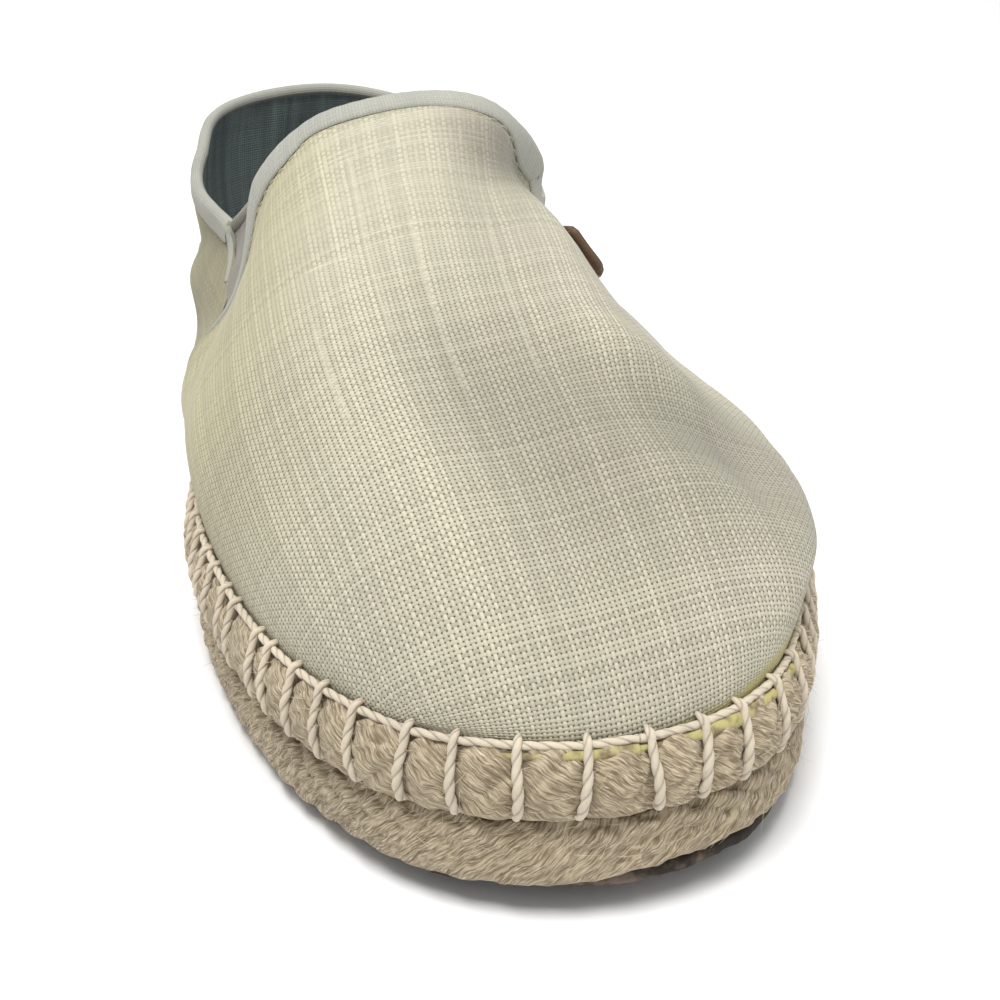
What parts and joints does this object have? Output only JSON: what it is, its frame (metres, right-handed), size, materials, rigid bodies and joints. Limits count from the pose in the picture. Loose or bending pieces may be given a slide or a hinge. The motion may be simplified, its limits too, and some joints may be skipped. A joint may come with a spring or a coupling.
{
  "type": "espadrille",
  "caption": "Left slip-on espadrille: linen upper with elastic gores at the sides, a leather tab, bound collar, jute sole of a twisted roll over a plait, and a thin rubber outsole.",
  "frame": {"origin": "middle of the footprint, on the floor", "axes": "toe to -Y, heel to +Y, medial side to -X, lateral side to +X, up +Z"},
  "size_m": [0.1046, 0.2896, 0.0812],
  "materials": {
    "rubber": "matte dark brown sheet",
    "jute": "coarse light brown jute",
    "footbed": "blue-grey canvas",
    "linen": "coarse natural linen",
    "tape": "light grey tape",
    "elastic": "grey ribbed elastic",
    "leather": "tan, darker at the edges"
  },
  "bodies": {
    "root": {"outsole": "rubber", "jute_lower": "jute", "jute_upper": "jute", "insole": "footbed", "upper": "linen", "binding_throat": "tape", "binding_collar": "tape", "gore_medial": "elastic", "gore_lateral": "elastic", "side_tab": "leather"}
  },
  "joints": []
}
